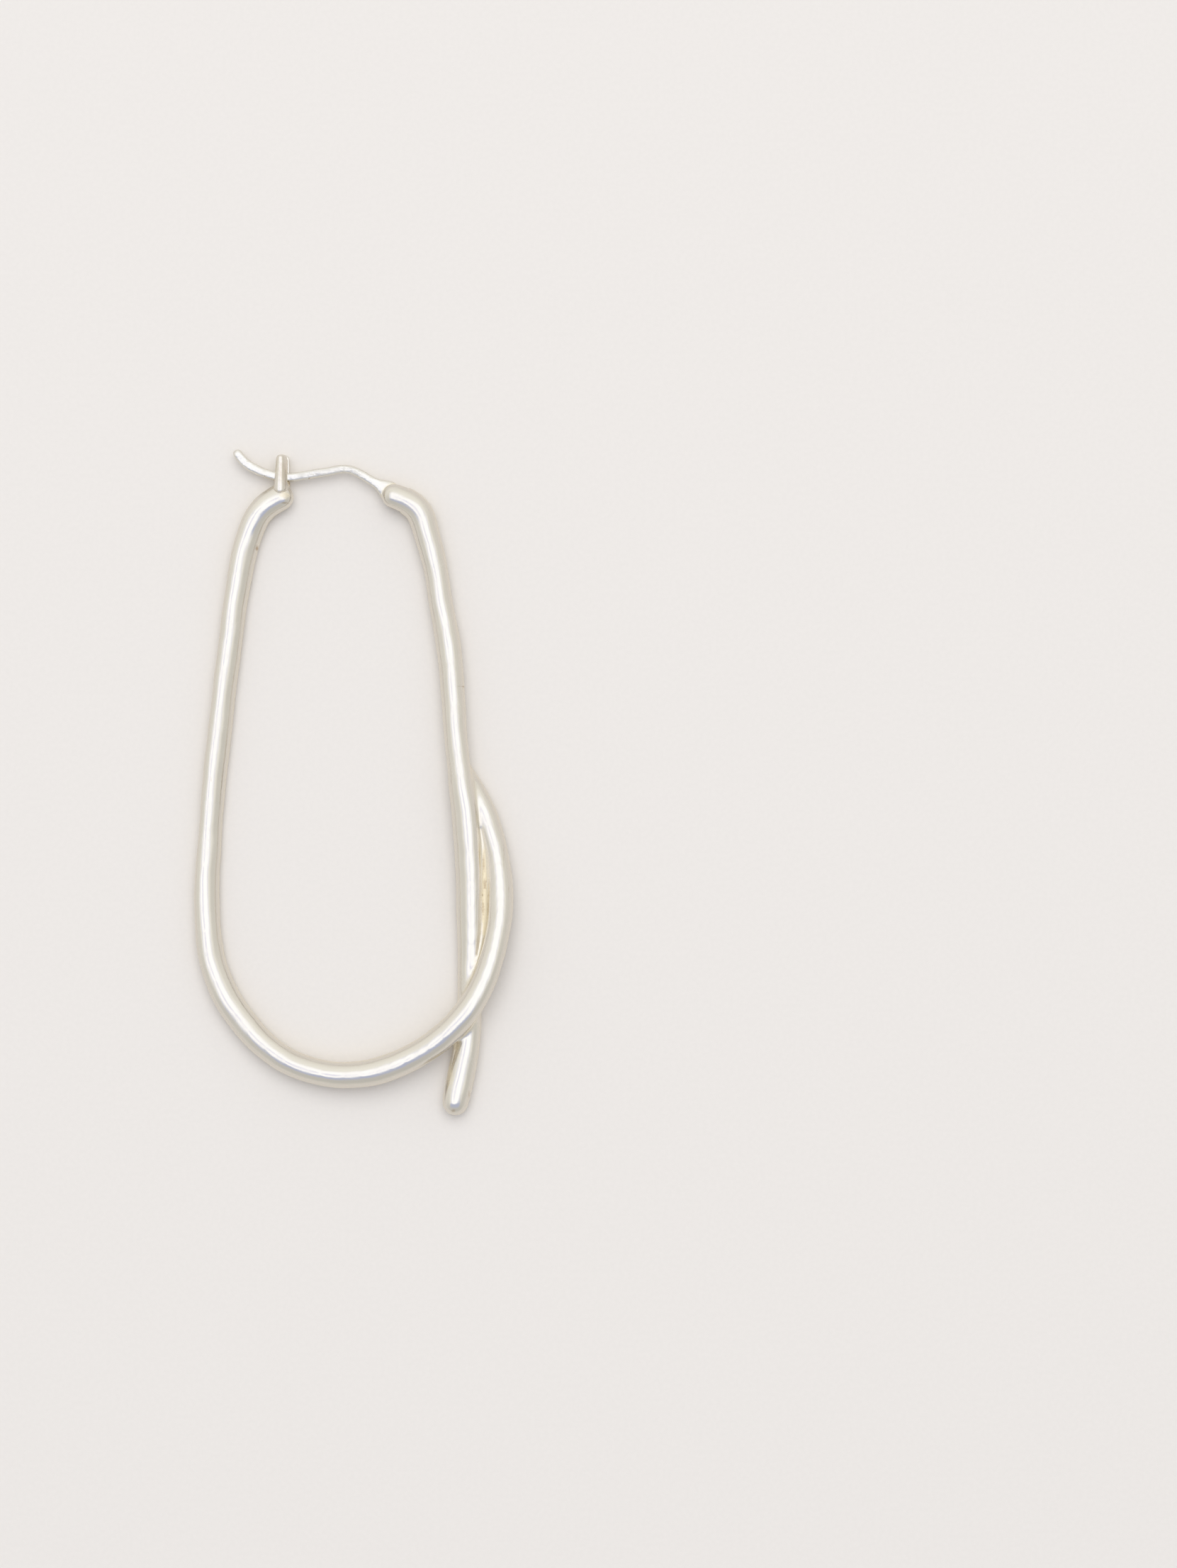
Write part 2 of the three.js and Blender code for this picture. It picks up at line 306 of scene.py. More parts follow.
class TreeMaker:
    """Adds and joins nodes in one node tree, a few words at a time."""

    def __init__(self, tree: NodeTree) -> None:
        """Keeps the tree to work on."""
        self.tree = tree

    def sockets(self, kind: str, values: dict[str, object], into: bool = True) -> dict[str, str]:
        """Adds sockets of one kind to a group's interface.

        Args:
            kind: their type, such as Float.
            values: their default values by name, or None for the type's own.
            into: True for inputs.

        Returns:
            The sockets' identifiers by name.
        """
        side = "INPUT" if into else "OUTPUT"
        identifiers = {}
        for name, value in values.items():
            made = self.tree.interface.new_socket(name=name, in_out=side, socket_type="NodeSocket" + kind)
            if value is not None:
                made.default_value = value
            identifiers[name] = made.identifier
        return identifiers

    def add(self, kind: str, inputs: Inputs | None = None, **settings: object) -> Node:
        """Adds a node.

        Args:
            kind: the node's type.
            inputs: for each input, by name or place, an output to join to it or a plain value.
            settings: the node's own properties.

        Returns:
            The node.
        """
        node = self.tree.nodes.new(kind)
        for name, value in settings.items():
            setattr(node, name, value)
        for key, value in (inputs or {}).items():
            if isinstance(value, NodeSocket):
                self.tree.links.new(value, node.inputs[key])
            else:
                node.inputs[key].default_value = value
        return node

    def out(self, kind: str, inputs: Inputs | None = None, **settings: object) -> NodeSocket:
        """The first output of a new node."""
        return self.add(kind, inputs, **settings).outputs[0]

    def math(self, operation: str, *values: object) -> NodeSocket:
        """The result of a Math node."""
        return self.out("ShaderNodeMath", dict(enumerate(values)), operation=operation)

    def times(self, first: object, second: object) -> NodeSocket:
        """One number times another."""
        return self.math("MULTIPLY", first, second)

    def vector(self, operation: str, *values: object, out: int = 0) -> NodeSocket:
        """The result of a Vector Math node."""
        node = self.add("ShaderNodeVectorMath", dict(enumerate(values)), operation=operation)
        return node.outputs[out]

    def scaled(self, vector: object, factor: object) -> NodeSocket:
        """A vector times a number."""
        return self.out("ShaderNodeVectorMath", {0: vector, "Scale": factor}, operation="SCALE")

    def ramp(self, value: object, low: object, high: object, to_low: object = 0.0,
             to_high: object = 1.0) -> NodeSocket:
        """A value carried smoothly from one range to another."""
        inputs = {"Value": value, 1: low, 2: high, 3: to_low, 4: to_high}
        return self.out("ShaderNodeMapRange", inputs, interpolation_type="SMOOTHSTEP")

    def noise(self, place: object, scale: object, detail: float, roughness: float = 0.5) -> NodeSocket:
        """Soft noise at a place, from 0 to 1."""
        inputs = {"Vector": place, "Scale": scale, "Detail": detail, "Roughness": roughness}
        return self.out("ShaderNodeTexNoise", inputs)

    def blend(self, mask: object, low: object, high: object) -> NodeSocket:
        """Two colours mixed by a mask."""
        inputs = {0: mask, MIX_LOW: low, MIX_HIGH: high}
        return self.add("ShaderNodeMix", inputs, data_type="RGBA").outputs[MIX_RESULT]

    def group(self, tree: NodeTree, inputs: Inputs) -> Sockets:
        """The outputs of a shader node group with its values."""
        return self.add("ShaderNodeGroup", inputs, node_tree=tree).outputs

    def place(self) -> NodeSocket:
        """The place on the piece, in millimetres."""
        return self.scaled(self.add("ShaderNodeTexCoord").outputs["Object"], 1.0 / MILLIMETRE)


def emptied(owner: Material | World) -> TreeMaker:
    """Empties the nodes of a material or a world.

    Args:
        owner: the material or world.

    Returns:
        The maker for its tree.
    """
    owner.use_nodes = True
    owner.node_tree.nodes.clear()
    return TreeMaker(owner.node_tree)


class Sculpt:
    """A closed mesh held as arrays while it is smoothed and marked, in millimetres."""

    def __init__(self, mesh: Mesh) -> None:
        """Reads the mesh.

        Args:
            mesh: the mesh, which store() writes back to.
        """
        self.mesh = mesh
        self.points = np.empty(len(mesh.vertices) * 3)
        mesh.vertices.foreach_get("co", self.points)
        self.points = self.points.reshape(-1, 3)
        edges = np.empty(len(mesh.edges) * 2, dtype=np.int64)
        mesh.edges.foreach_get("vertices", edges)
        self.ends = edges.reshape(-1, 2)
        self.degree = np.bincount(edges, minlength=len(self.points)).astype(float)

    def mean_of_neighbours(self, values: np.ndarray) -> np.ndarray:
        """The mean, at each point, of its neighbours' values.

        Args:
            values: one value for each point.

        Returns:
            One mean for each point.
        """
        first, second = self.ends.T
        total = np.bincount(first, weights=values[second], minlength=len(values))
        total += np.bincount(second, weights=values[first], minlength=len(values))
        return total / self.degree

    def smooth(self, rounds: int, strength: float = 0.5) -> None:
        """Relaxes the points towards their neighbours, which rounds every edge.

        Args:
            rounds: how often.
            strength: share of the way in each round.
        """
        for _ in range(rounds):
            for axis in range(3):
                column = self.points[:, axis]
                self.points[:, axis] = column + strength * (self.mean_of_neighbours(column) - column)

    def settle(self, table: float = 0.0) -> None:
        """Wears flat what would lie under the table's top."""
        self.points[:, 2] = np.maximum(self.points[:, 2], table)

    def normals(self) -> np.ndarray:
        """The outward directions.

        Returns:
            One row for each point.
        """
        self.store()
        values = np.empty(len(self.points) * 3)
        self.mesh.vertex_normals.foreach_get("vector", values)
        return values.reshape(-1, 3)

    def hollowness(self, rounds: int) -> np.ndarray:
        """How far the surface is hollow at each point, from 0 to 1.

        Args:
            rounds: how often the result is spread over the neighbours.

        Returns:
            One value for each point.
        """
        means = np.stack([self.mean_of_neighbours(column) for column in self.points.T], axis=1)
        bend = np.einsum("ij,ij->i", means - self.points, self.normals())
        for _ in range(rounds):
            bend = (bend + self.mean_of_neighbours(bend)) / 2
        return np.clip(bend / (np.percentile(bend, DEEP_HOLLOW) + TINY), 0.0, 1.0)

    def mark(self, name: str, values: np.ndarray) -> None:
        """Stores one value for each point as an attribute that a finish can read."""
        attribute = self.mesh.attributes.get(name) or self.mesh.attributes.new(name, "FLOAT", "POINT")
        attribute.data.foreach_set("value", values.astype(np.float32))

    def store(self) -> None:
        """Writes the points back into the mesh."""
        self.mesh.vertices.foreach_set("co", self.points.ravel())
        self.mesh.update()


def mesh_object(name: str, mesh: Mesh) -> Object:
    """Puts a mesh into the scene at the origin.

    Args:
        name: the object's name.
        mesh: the mesh.

    Returns:
        The object.
    """
    made = bpy.data.objects.new(name, mesh)
    bpy.context.scene.collection.objects.link(made)
    return made


def evaluated(source: Object, name: str) -> Mesh:
    """The mesh that an object's modifiers make, with the object itself removed.

    Args:
        source: the object, which is deleted.
        name: the new mesh's name.

    Returns:
        The finished mesh.
    """
    graph = bpy.context.evaluated_depsgraph_get()
    mesh = bpy.data.meshes.new_from_object(source.evaluated_get(graph), depsgraph=graph)
    mesh.name = name
    bpy.data.objects.remove(source)
    return mesh


def as_mesh(work: bmesh.types.BMesh, name: str) -> Mesh:
    """Turns worked faces into a mesh, and frees them.

    Args:
        work: the faces.
        name: the mesh's name.

    Returns:
        The mesh.
    """
    mesh = bpy.data.meshes.new(name)
    work.to_mesh(mesh)
    work.free()
    return mesh


def facing_out(mesh: Mesh) -> Mesh:
    """Merges a mesh's doubles and turns its faces outwards.

    Args:
        mesh: the mesh, which is changed.

    Returns:
        The same mesh.
    """
    work = bmesh.new()
    work.from_mesh(mesh)
    bmesh.ops.remove_doubles(work, verts=work.verts, dist=MERGE_DISTANCE)
    bmesh.ops.recalc_face_normals(work, faces=work.faces)
    work.to_mesh(mesh)
    work.free()
    return mesh


def joined(meshes: list[Mesh], name: str) -> Mesh:
    """Puts several closed meshes into one.

    Args:
        meshes: the meshes.
        name: the new mesh's name.

    Returns:
        The new mesh.
    """
    work = bmesh.new()
    for mesh in meshes:
        work.from_mesh(mesh)
    return as_mesh(work, name)


def combined(mesh: Mesh, others: list[Mesh], how: Combine) -> Mesh:
    """Combines a closed mesh with other closed ones, with a crisp crease where they meet.

    Args:
        mesh: the mesh, whose name is kept.
        others: the other meshes, which are used up.
        how: whether they are cut away, welded on, or kept only where they share room.

    Returns:
        The combined mesh.
    """
    body = mesh_object("body", mesh)
    tools = [mesh_object("tool", other) for other in others]
    for tool in tools:
        modifier = body.modifiers.new("combine", "BOOLEAN")
        modifier.operation = how.value
        modifier.solver = "EXACT"
        modifier.object = tool
    result = evaluated(body, mesh.name)
    for tool in tools:
        bpy.data.objects.remove(tool)
    return result


def fused(mesh: Mesh, voxel: float, name: str) -> Mesh:
    """Melts overlapping closed shells into one even skin.

    Args:
        mesh: the shells.
        voxel: size of the new skin's faces, in millimetres.
        name: the new mesh's name.

    Returns:
        The fused mesh.
    """
    body = mesh_object(name, mesh)
    modifier = body.modifiers.new("fuse", "REMESH")
    modifier.mode = "VOXEL"
    modifier.voxel_size = voxel
    modifier.use_smooth_shade = True
    return evaluated(body, name)


def plate(outline: list[Vector], low: float, high: float, name: str) -> Mesh:
    """A flat plate.

    Args:
        outline: its corners, seen from above.
        low: height of its underside.
        high: height of its top.
        name: the mesh's name.

    Returns:
        The closed mesh.
    """
    work = bmesh.new()
    bottom = [work.verts.new((p.x, p.y, low)) for p in outline]
    top = [work.verts.new((p.x, p.y, high)) for p in outline]
    work.faces.new(bottom[::-1])
    work.faces.new(top)
    for i in range(len(outline)):
        j = (i + 1) % len(outline)
        work.faces.new((bottom[i], bottom[j], top[j], top[i]))
    return facing_out(as_mesh(work, name))


def round_bar(place: Vector, radius: float, length: float, around: int, name: str) -> Mesh:
    """An upright cylinder.

    Args:
        place: its middle.
        radius: its radius.
        length: its length.
        around: faces round it.
        name: the mesh's name.

    Returns:
        The closed mesh.
    """
    work = bmesh.new()
    bmesh.ops.create_cone(work, cap_ends=True, segments=around, radius1=radius, radius2=radius, depth=length,
                          matrix=Matrix.Translation(place))
    return as_mesh(work, name)


def path_object(samples: np.ndarray, name: str) -> Object:
    """A line of edges that carries what a rod needs.

    Args:
        samples: rows of x, y, z, half width, oval and lean.
        name: the object's name.

    Returns:
        The object.
    """
    mesh = bpy.data.meshes.new(name)
    count = len(samples)
    mesh.from_pydata([tuple(row[:3]) for row in samples], [(i, i + 1) for i in range(count - 1)], [])
    for column, kept in enumerate(PATH_VALUES, start=3):
        values = samples[:, column].astype(np.float32)
        mesh.attributes.new(kept, "FLOAT", "POINT").data.foreach_set("value", values)
    return mesh_object(name, mesh)


class RodTree(TreeMaker):
    """Geometry nodes that draw a section along a path, scaled by the path's own half width."""

    def __init__(self) -> None:
        """Builds the tree, and keeps the identifier of each of its inputs by name."""
        super().__init__(bpy.data.node_groups.new("drawn_rod", "GeometryNodeTree"))
        self.sockets("Geometry", {"Geometry": None})
        self.keys = self.sockets("Int", {"Around": 48})
        self.keys |= self.sockets("Float", {
            "Squareness": 2.0, "Level": 0.0, "Thickness": 0.0, "Least Width": 0.01, "Dent Depth": 0.0,
            "Dent Size": 3.0, "Ripple Depth": 0.0, "Ripple Size": 1.0, "Seed": 0.0,
        })
        self.keys |= self.sockets("Material", {"Material": None})
        self.sockets("Geometry", {"Geometry": None}, into=False)
        self.given = self.add("NodeGroupInput").outputs
        rod = self.rolled(self.oval(self.drawn()))
        for kind in ("Dent", "Ripple"):
            rod = self.uneven(rod, kind)
        real = self.out("GeometryNodeRealizeInstances", {"Geometry": rod})
        dressed = self.out("GeometryNodeSetMaterial", {"Geometry": real, "Material": self.given["Material"]})
        self.add("NodeGroupOutput", {"Geometry": dressed})

    def read(self, name: str, kind: str = "FLOAT") -> NodeSocket:
        """A value that the path carries."""
        return self.out("GeometryNodeInputNamedAttribute", {"Name": name}, data_type=kind)

    def moved(self, rod: NodeSocket, inputs: Inputs) -> NodeSocket:
        """The rod with its points moved."""
        return self.out("GeometryNodeSetPosition", {"Geometry": rod, **inputs})

    def section(self) -> NodeSocket:
        """The section, a circle squared by a power.

        Returns:
            The section's curve.
        """
        sizes = {"Resolution": self.given["Around"], "Radius": 1.0}
        circle = self.out("GeometryNodeCurvePrimitiveCircle", sizes, mode="RADIUS")
        place = self.out("GeometryNodeInputPosition")
        power = self.given["Squareness"]
        parts = self.add("ShaderNodeSeparateXYZ", {0: place}).outputs
        powers = [self.math("POWER", self.math("ABSOLUTE", parts[i]), power) for i in (0, 1)]
        reach = self.math("POWER", self.math("ADD", *powers), self.math("DIVIDE", -1.0, power))
        return self.moved(circle, {"Position": self.scaled(place, reach)})

    def drawn(self) -> NodeSocket:
        """The section carried along the path, which keeps its middle line and its directions.

        Returns:
            The round rod.
        """
        line = self.out("GeometryNodeMeshToCurve", {0: self.given["Geometry"]})
        place = self.out("GeometryNodeInputPosition")
        heading = self.out("GeometryNodeInputTangent")
        side = self.vector("NORMALIZE", self.vector("CROSS_PRODUCT", heading, (0.0, 0.0, 1.0)))
        top = self.vector("CROSS_PRODUCT", side, heading)
        for kept, value in (("centre", place), ("side", side), ("top", top)):
            inputs = {"Geometry": line, "Name": kept, "Value": value}
            line = self.out("GeometryNodeStoreNamedAttribute", inputs, data_type="FLOAT_VECTOR",
                            domain="POINT")
        upright = self.out("GeometryNodeSetCurveNormal", {"Curve": line}, mode="Z_UP")
        return self.out("GeometryNodeCurveToMesh", {
            "Curve": upright, "Profile Curve": self.section(), "Scale": self.read("half_width"),
            "Fill Caps": True,
        })

    def oval(self, rod: NodeSocket) -> NodeSocket:
        """Presses a round rod to a leaning oval that keeps its width and its underside.

        Args:
            rod: the round rod.

        Returns:
            The oval rod.
        """
        centre, side, top = (self.read(name, "FLOAT_VECTOR") for name in ("centre", "side", "top"))
        ratio = self.read("oval")
        root = self.math("SQRT", ratio)
        lean = self.math("RADIANS", self.read("lean"))
        cosine, sine = self.math("COSINE", lean), self.math("SINE", lean)
        major = self.vector("ADD", self.scaled(side, cosine), self.scaled(top, sine))
        minor = self.vector("SUBTRACT", self.scaled(top, cosine), self.scaled(side, sine))
        squares = [self.math("POWER", value, 2.0) for value in (cosine, sine)]
        wide, tall = (self.math("ADD", self.times(ratio, more), self.math("DIVIDE", less, ratio))
                      for more, less in (squares, squares[::-1]))
        size = self.math("INVERSE_SQRT", wide)
        offset = self.vector("SUBTRACT", self.out("GeometryNodeInputPosition"), centre)
        pressed = []
        for axis, length in ((major, self.times(size, root)), (minor, self.math("DIVIDE", size, root))):
            along = self.times(self.vector("DOT_PRODUCT", offset, axis, out=1), length)
            pressed.append(self.scaled(axis, along))
        turned = self.vector("ADD", centre, self.vector("ADD", *pressed))
        ahead = self.vector("CROSS_PRODUCT", top, side)
        forward = self.scaled(ahead, self.vector("DOT_PRODUCT", offset, ahead, out=1))
        height = self.times(size, self.math("SQRT", tall))
        sink = self.times(self.math("SUBTRACT", height, 1.0), self.read("half_width"))
        lowered = self.vector("ADD", self.vector("ADD", turned, forward), self.scaled(top, sink))
        return self.moved(rod, {"Position": lowered})

    def rolled(self, rod: NodeSocket) -> NodeSocket:
        """Rolls a rod to one thickness about its level, where a thickness is given.

        Args:
            rod: the rod.

        Returns:
            The rolled rod.
        """
        level, thickness = self.given["Level"], self.given["Thickness"]
        parts = self.add("ShaderNodeSeparateXYZ", {0: self.out("GeometryNodeInputPosition")}).outputs
        width = self.math("MAXIMUM", self.times(self.read("half_width"), 2.0), self.given["Least Width"])
        above = self.times(self.math("SUBTRACT", parts[2], level), self.math("DIVIDE", thickness, width))
        height = self.math("ADD", above, level)
        flat = self.out("ShaderNodeCombineXYZ", {0: parts[0], 1: parts[1], 2: height})
        return self.moved(rod, {"Selection": self.math("GREATER_THAN", thickness, 0.0), "Position": flat})

    def uneven(self, rod: NodeSocket, kind: str) -> NodeSocket:
        """Gives a rod the slow unevenness of work by hand, in one size.

        Args:
            rod: the rod.
            kind: which of the given depths and sizes is used.

        Returns:
            The uneven rod.
        """
        noise = self.out("ShaderNodeTexNoise", {
            "Vector": self.out("GeometryNodeInputPosition"), "W": self.given["Seed"],
            "Scale": self.math("DIVIDE", 1.0, self.given[kind + " Size"]), "Detail": 1.0,
        }, noise_dimensions="4D")
        push = self.times(self.math("SUBTRACT", noise, 0.5), self.given[kind + " Depth"])
        return self.moved(rod, {"Offset": self.scaled(self.out("GeometryNodeInputNormal"), push)})


class RodMaker:
    """Draws rods with one shared tree."""

    def __init__(self) -> None:
        """Builds the tree once."""
        self.shared = RodTree()

    def draw(self, samples: np.ndarray, name: str, settings: dict[str, object]) -> Mesh:
        """Draws one rod.

        Args:
            samples: rows of x, y, z, half width, oval and lean.
            name: the mesh's name.
            settings: values for the tree's inputs, by name, with the rod's Material among them.

        Returns:
            The closed mesh, facing out.
        """
        path = path_object(samples, name + "_path")
        modifier = path.modifiers.new("draw", "NODES")
        modifier.node_group = self.shared.tree
        for key, value in settings.items():
            modifier[self.shared.keys[key]] = value
        return facing_out(evaluated(path, name))


@dataclass(frozen=True)
class Grain:
    """Shader groups that the finishes share, built once."""

    scratches: NodeTree
    patch: NodeTree
    polish: NodeTree


def shader_group(name: str, vectors: dict[str, object], numbers: dict[str, float],
                 results: tuple[str, ...]) -> tuple[TreeMaker, Sockets]:
    """Starts a shader group.

    Args:
        name: its name.
        vectors: its vector inputs with their values, or None.
        numbers: its number inputs with their values.
        results: the names of its outputs.

    Returns:
        The maker for its tree, and what its inputs give.
    """
    make = TreeMaker(bpy.data.node_groups.new(name, "ShaderNodeTree"))
    make.sockets("Vector", vectors)
    make.sockets("Float", numbers)
    make.sockets("Float", dict.fromkeys(results), into=False)
    return make, make.add("NodeGroupInput").outputs


def scratch_group() -> NodeTree:
    """Draws fine scratches, long one way.

    Returns:
        A group that gives their Height and Mask.
    """
    line_detail, line_roughness, line_width = 3.0, 0.65, 0.1
    area_scale, area_edge = 0.35, (0.45, 0.62)
    make, given = shader_group("fine_scratches", {"Place": None, "Stretch": (1.0, 0.12, 1.0)},
                               {"Scale": 8.0, "Share": 0.3}, ("Height", "Mask"))
    stretched = make.vector("MULTIPLY", given["Place"], given["Stretch"])
    lines = make.noise(stretched, given["Scale"], line_detail, line_roughness)
    ridge = make.math("ABSOLUTE", make.math("SUBTRACT", lines, 0.5))
    mask = make.ramp(ridge, 0.0, make.times(given["Share"], line_width), 1.0, 0.0)
    here = make.ramp(make.noise(given["Place"], area_scale, 1.0), *area_edge)
    result = make.times(mask, here)
    make.add("NodeGroupOutput", {"Height": make.times(result, -1.0), "Mask": result})
    return make.tree


def patch_group() -> NodeTree:
    """Draws a ragged patch round a place.

    Returns:
        A group that gives its Mask.
    """
    edge_detail = 4.0
    make, given = shader_group("ragged_patch", {"Place": None, "Centre": None, "Reach": (1.0, 1.0, 1.0)},
                               {"Soft": 0.3, "Ragged": 0.4, "Grain": 1.5}, ("Mask",))
    offset = make.vector("DIVIDE", make.vector("SUBTRACT", given["Place"], given["Centre"]), given["Reach"])
    noise = make.noise(given["Place"], given["Grain"], edge_detail)
    rag = make.times(make.math("SUBTRACT", noise, 0.5), given["Ragged"])
    edge = make.math("ADD", make.vector("LENGTH", offset, out=1), rag)
    mask = make.ramp(edge, make.math("SUBTRACT", 1.0, given["Soft"]), 1.0, 1.0, 0.0)
    make.add("NodeGroupOutput", {"Mask": mask})
    return make.tree


def polish_group() -> NodeTree:
    """Draws uneven polish, with slow waves and pits.

    Returns:
        A group that gives their Height, a bloom as Cloud, and the Pits.
    """
    wave_detail, wave_roughness = 2.0, 0.4
    pit_edge, pit_depth = (0.05, 0.16), 0.8
    cloud_scale, cloud_detail, cloud_edge = 0.55, 3.0, (0.35, 0.7)
    make, given = shader_group("uneven_polish", {"Place": None},
                               {"Wave Size": 0.8, "Pit Size": 0.5, "Pit Share": 0.05},
                               ("Height", "Cloud", "Pits"))
    wave_scale = make.math("DIVIDE", 1.0, given["Wave Size"])
    waves = make.noise(given["Place"], wave_scale, wave_detail, wave_roughness)
    cells = make.add("ShaderNodeTexVoronoi", {
        "Vector": given["Place"], "Scale": make.math("DIVIDE", 1.0, given["Pit Size"]), "Randomness": 1.0,
    }).outputs
    chosen = make.math("LESS_THAN", make.out("ShaderNodeSeparateColor", {0: cells[1]}), given["Pit Share"])
    pit = make.times(make.ramp(cells[0], *pit_edge, 1.0, 0.0), chosen)
    cloud = make.ramp(make.noise(given["Place"], cloud_scale, cloud_detail), *cloud_edge)
    height = make.math("SUBTRACT", waves, make.times(pit, pit_depth))
    make.add("NodeGroupOutput", {"Height": height, "Cloud": cloud, "Pits": pit})
    return make.tree


@dataclass(frozen=True)
class StainOrPaintedLight:
    """A ragged patch on a finish, in millimetres in the frame: real tarnish, or painted light or shade."""

    centre: Triple
    reach: Triple
    ragged: float = 0.5
    grain: float = 1.5
    strength: float = 1.0
    soft: float = 0.3


@dataclass(frozen=True)
class SilverFinish:
    """Polished silver, warm in its hollows, with painted light on its rims: where it faces away from the
    camera, a warm, partly matte tone stands in for their reflection.
    """

    name: str
    tint: Colour = (0.735, 0.70, 0.635, 1.0)
    warm: Colour = (0.84, 0.74, 0.53, 1.0)
    dark: Colour = (0.36, 0.24, 0.12, 1.0)
    roughness: float = 0.165
    dull: float = 0.42
    scratch_dull: float = 0.08
    cloud_dull: float = 0.05
    scratch_depth: float = 0.1
    hollow_warmth: float = 0.4
    # Painted light on the rims: where the surface turns away from straight up, it gets a warm, partly matte
    # tone that lightens it
    painted_rim_warmth: float = 0.38
    painted_rim_matte: float = 0.28
    painted_rim_edge: Pair = (0.05, 0.68)
    speck_edge: Pair = (0.72, 0.95)
    crust_and_painted_light: float = 0.5
    bump: float = 0.012
    wave_size: float = 0.8
    scratch_stretch: Triple = (1.0, 0.12, 1.0)
    pit_share: float = 0.012
    stains_and_painted_light: tuple[StainOrPaintedLight, ...] = ()
    marks: tuple[StainOrPaintedLight, ...] = ()

    def patches(self, make: TreeMaker, grain: Grain, place: NodeSocket, stains_and_painted_light: tuple[StainOrPaintedLight, ...]) -> object:
        """Where any of some ragged patches lies.

        Args:
            make: the maker for the material's tree.
            grain: the shared groups.
            place: the place on the piece, in millimetres.
            stains_and_painted_light: the patches.

        Returns:
            One mask for all of them, or 0 where there are none.
        """
        mask = 0.0
        for stain_or_painted_light in stains_and_painted_light:
            patch = make.group(grain.patch, {
                "Place": place, "Centre": stain_or_painted_light.centre, "Reach": stain_or_painted_light.reach, "Soft": stain_or_painted_light.soft,
                "Ragged": stain_or_painted_light.ragged, "Grain": stain_or_painted_light.grain,
            })
            mask = make.math("MAXIMUM", mask, make.times(patch["Mask"], stain_or_painted_light.strength))
        return mask

    def build(self, grain: Grain) -> Material:
        """Makes the material.

        Args:
            grain: the shared groups.

        Returns:
            The material.
        """
        material = bpy.data.materials.new(self.name)
        make = emptied(material)
        place = make.place()
        polish = make.group(grain.polish, {"Place": place, "Wave Size": self.wave_size,
                                           "Pit Share": self.pit_share})
        scratches = make.group(grain.scratches, {"Place": place, "Stretch": self.scratch_stretch})
        hollow = make.add("ShaderNodeAttribute", attribute_name="hollow").outputs["Fac"]
        normal = make.add("ShaderNodeNewGeometry").outputs["Normal"]
        rise = make.add("ShaderNodeSeparateXYZ", {0: normal}).outputs[2]
        # Painted light: rims that face away from straight up are warmed and made partly matte
        under = make.ramp(rise, *self.painted_rim_edge, 1.0, 0.0)
        patches = self.patches(make, grain, place, self.stains_and_painted_light)
        marks = self.patches(make, grain, place, self.marks)
        warmth = make.math("MAXIMUM", make.times(hollow, self.hollow_warmth),
                           make.times(under, self.painted_rim_warmth))
        warmth = make.math("MAXIMUM", warmth, patches)
        # Matte share: real crust in the stains, and painted light on the rims and in the painted patches
        crust_and_painted_light = make.math("MAXIMUM", make.times(patches, self.crust_and_painted_light), make.times(under, self.painted_rim_matte))
        specks = make.ramp(make.times(warmth, polish["Cloud"]), *self.speck_edge)
        # Darkening: real specks, pits and marks, with the painted shade and the painted dark reflection
        # among the marks
        soil_and_painted_shade = make.math("MAXIMUM", make.math("MAXIMUM", specks, polish["Pits"]), marks)
        colour = make.blend(soil_and_painted_shade, make.blend(warmth, self.tint, self.warm), self.dark)
        rough = make.ramp(warmth, 0.0, 1.0, self.roughness, self.dull)
        rough = make.math("ADD", rough, make.times(scratches["Mask"], self.scratch_dull))
        rough = make.math("ADD", rough, make.times(polish["Cloud"], self.cloud_dull))
        height = make.math("ADD", polish["Height"], make.times(scratches["Height"], self.scratch_depth))
        relief = make.out("ShaderNodeBump", {"Strength": 1.0, "Distance": self.bump * MILLIMETRE,
                                             "Height": height})
        shader = make.out("ShaderNodeBsdfPrincipled", {
            "Base Color": colour, "Metallic": make.math("SUBTRACT", 1.0, crust_and_painted_light), "Roughness": rough,
            "Normal": relief,
        })
        make.add("ShaderNodeOutputMaterial", {"Surface": shader})
        return material


@dataclass(frozen=True)
class TableFinish:
    """The smooth pale surface under the earring."""

    colour: Colour = (0.83, 0.795, 0.757, 1.0)
    darker: float = 0.985
    roughness: float = 0.7
    sheen: float = 0.25
    grain_scale: float = 2.5
    grain_detail: float = 4.0
    grain_edge: Pair = (0.3, 0.7)
    relief: float = 0.02
    relief_strength: float = 0.25

    def build(self) -> Material:
        """Makes the material.

        Returns:
            The material.
        """
        material = bpy.data.materials.new("pale_table")
        make = emptied(material)
        grain = make.noise(make.place(), self.grain_scale, self.grain_detail)
        shade = make.ramp(grain, *self.grain_edge)
        darker = tuple(value * self.darker for value in self.colour[:3]) + (1.0,)
        relief = make.out("ShaderNodeBump", {"Strength": self.relief_strength,
                                             "Distance": self.relief * MILLIMETRE, "Height": grain})
        shader = make.out("ShaderNodeBsdfPrincipled", {
            "Base Color": make.blend(shade, darker, self.colour), "Roughness": self.roughness,
            "Normal": relief, "Specular IOR Level": self.sheen,
        })
        make.add("ShaderNodeOutputMaterial", {"Surface": shader})
        return material


